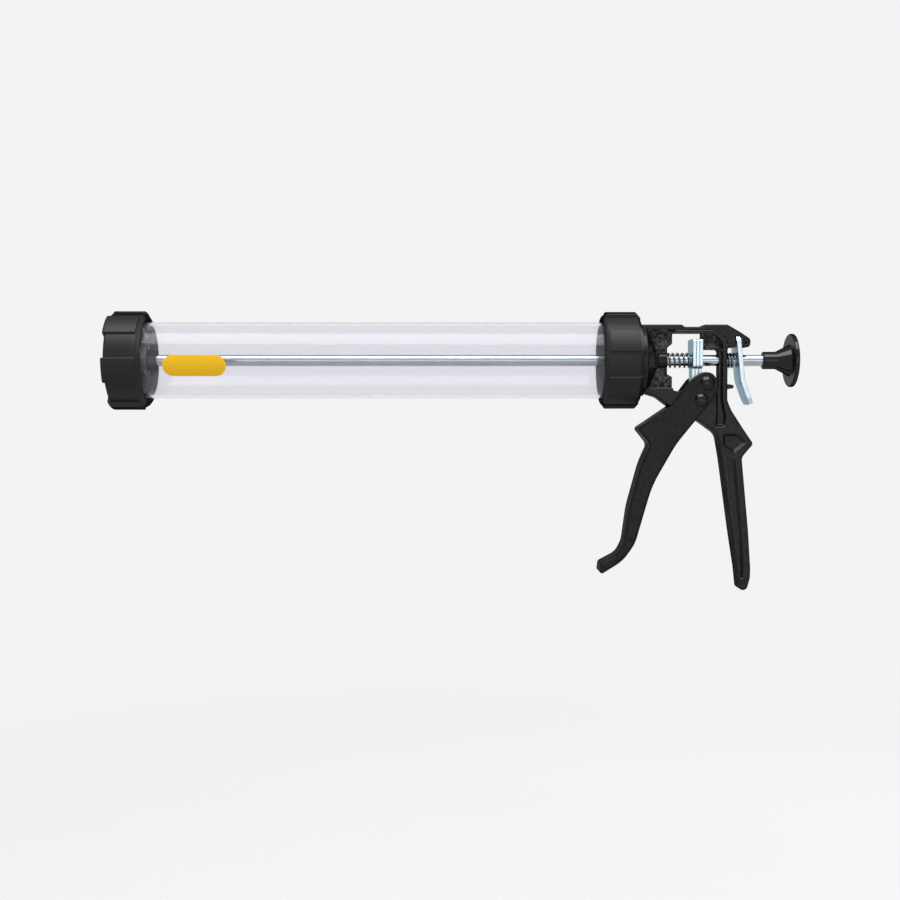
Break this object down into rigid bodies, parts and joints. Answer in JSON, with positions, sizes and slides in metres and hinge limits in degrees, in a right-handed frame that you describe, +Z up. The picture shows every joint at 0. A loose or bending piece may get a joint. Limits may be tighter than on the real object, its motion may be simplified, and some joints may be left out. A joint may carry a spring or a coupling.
{
  "type": "caulking gun",
  "caption": "Bulk caulking gun with a clear screw-capped barrel, a push rod with piston and knob, gripping drive plates, a channel trigger and a thumb release lever.",
  "frame": {"origin": "centre of the nozzle bore on the front face of the front cap", "axes": "+X along the barrel from the front cap to the pull knob, +Z up, so the grip hangs towards -Z"},
  "size_m": [0.4822, 0.07, 0.1976],
  "materials": {
    "moulded_black": "satin moulded",
    "cast_black": "satin black paint on a die casting",
    "clear_barrel": "clear polished",
    "zinc_steel": "bright zinc plate",
    "black_steel": "black oxide on steel",
    "spring_steel": "drawn wire",
    "rubber": "matt",
    "label_film": "satin film",
    "piston_plastic": "satin moulded"
  },
  "bodies": {
    "frame": {"handle_frame": "cast_black", "drive_spring": "spring_steel", "release_spring": "spring_steel"},
    "barrel": {"barrel_tube": "clear_barrel", "barrel_label": "label_film"},
    "collar": {"rear_collar": "moulded_black"},
    "gasket": {"cap_gasket": "rubber"},
    "cap": {"front_cap": "moulded_black"},
    "rod": {"push_rod": "zinc_steel", "pull_knob": "moulded_black", "piston": "piston_plastic", "piston_seal": "rubber", "piston_washer": "zinc_steel", "piston_screw": "zinc_steel", "piston_nut": "black_steel"},
    "trigger": {"trigger": "cast_black", "trigger_pivot_pin": "black_steel", "drive_pin": "black_steel", "drive_sleeve": "zinc_steel"},
    "plates": {"drive_plate_1": "zinc_steel", "drive_plate_2": "zinc_steel", "drive_plate_3": "zinc_steel"},
    "lever": {"release_lever": "zinc_steel"}
  },
  "joints": [
    {"name": "collar_turn", "type": "hinge", "parent": "frame", "child": "collar", "pos_m": [0.36, 0, 0], "axis": [1, 0, 0], "range_deg": [0, 2160]},
    {"name": "barrel_advance", "type": "slide", "parent": "frame", "child": "barrel", "axis": [-1, 0, 0], "range_m": [0, 0.0182]},
    {"name": "cap_advance", "type": "slide", "parent": "barrel", "child": "gasket", "axis": [-1, 0, 0], "range_m": [0, 0.0182]},
    {"name": "cap_turn", "type": "hinge", "parent": "gasket", "child": "cap", "pos_m": [0.012, 0, 0], "axis": [-1, 0, 0], "range_deg": [0, 2160]},
    {"name": "rod_slide", "type": "slide", "parent": "frame", "child": "rod", "axis": [1, 0, 0], "range_m": [-0.0025, 0.33]},
    {"name": "trigger_pull", "type": "hinge", "parent": "frame", "child": "trigger", "pos_m": [0.41545, 0, -0.0281], "axis": [0, -1, 0], "range_deg": [0, 35], "stiffness_Nm_per_rad": 0.12, "springref_deg": -28.65},
    {"name": "plate_stroke", "type": "slide", "parent": "frame", "child": "plates", "axis": [-1, 0, 0], "range_m": [0, 0.0076], "deforming": ["drive_spring"]},
    {"name": "release_press", "type": "hinge", "parent": "frame", "child": "lever", "pos_m": [0.4412, 0, 0.0159], "axis": [0, 1, 0], "range_deg": [0, 7], "stiffness_Nm_per_rad": 0.4, "springref_deg": -11.46, "deforming": ["release_spring"]}
  ],
  "couplings": [
    {"joint": "barrel_advance", "follows": "collar_turn", "m_per_rad": 0.00047746},
    {"joint": "cap_advance", "follows": "cap_turn", "m_per_rad": 0.00047746},
    {"joint": "plate_stroke", "follows": "trigger_pull", "m_per_rad": 0.0124}
  ]
}
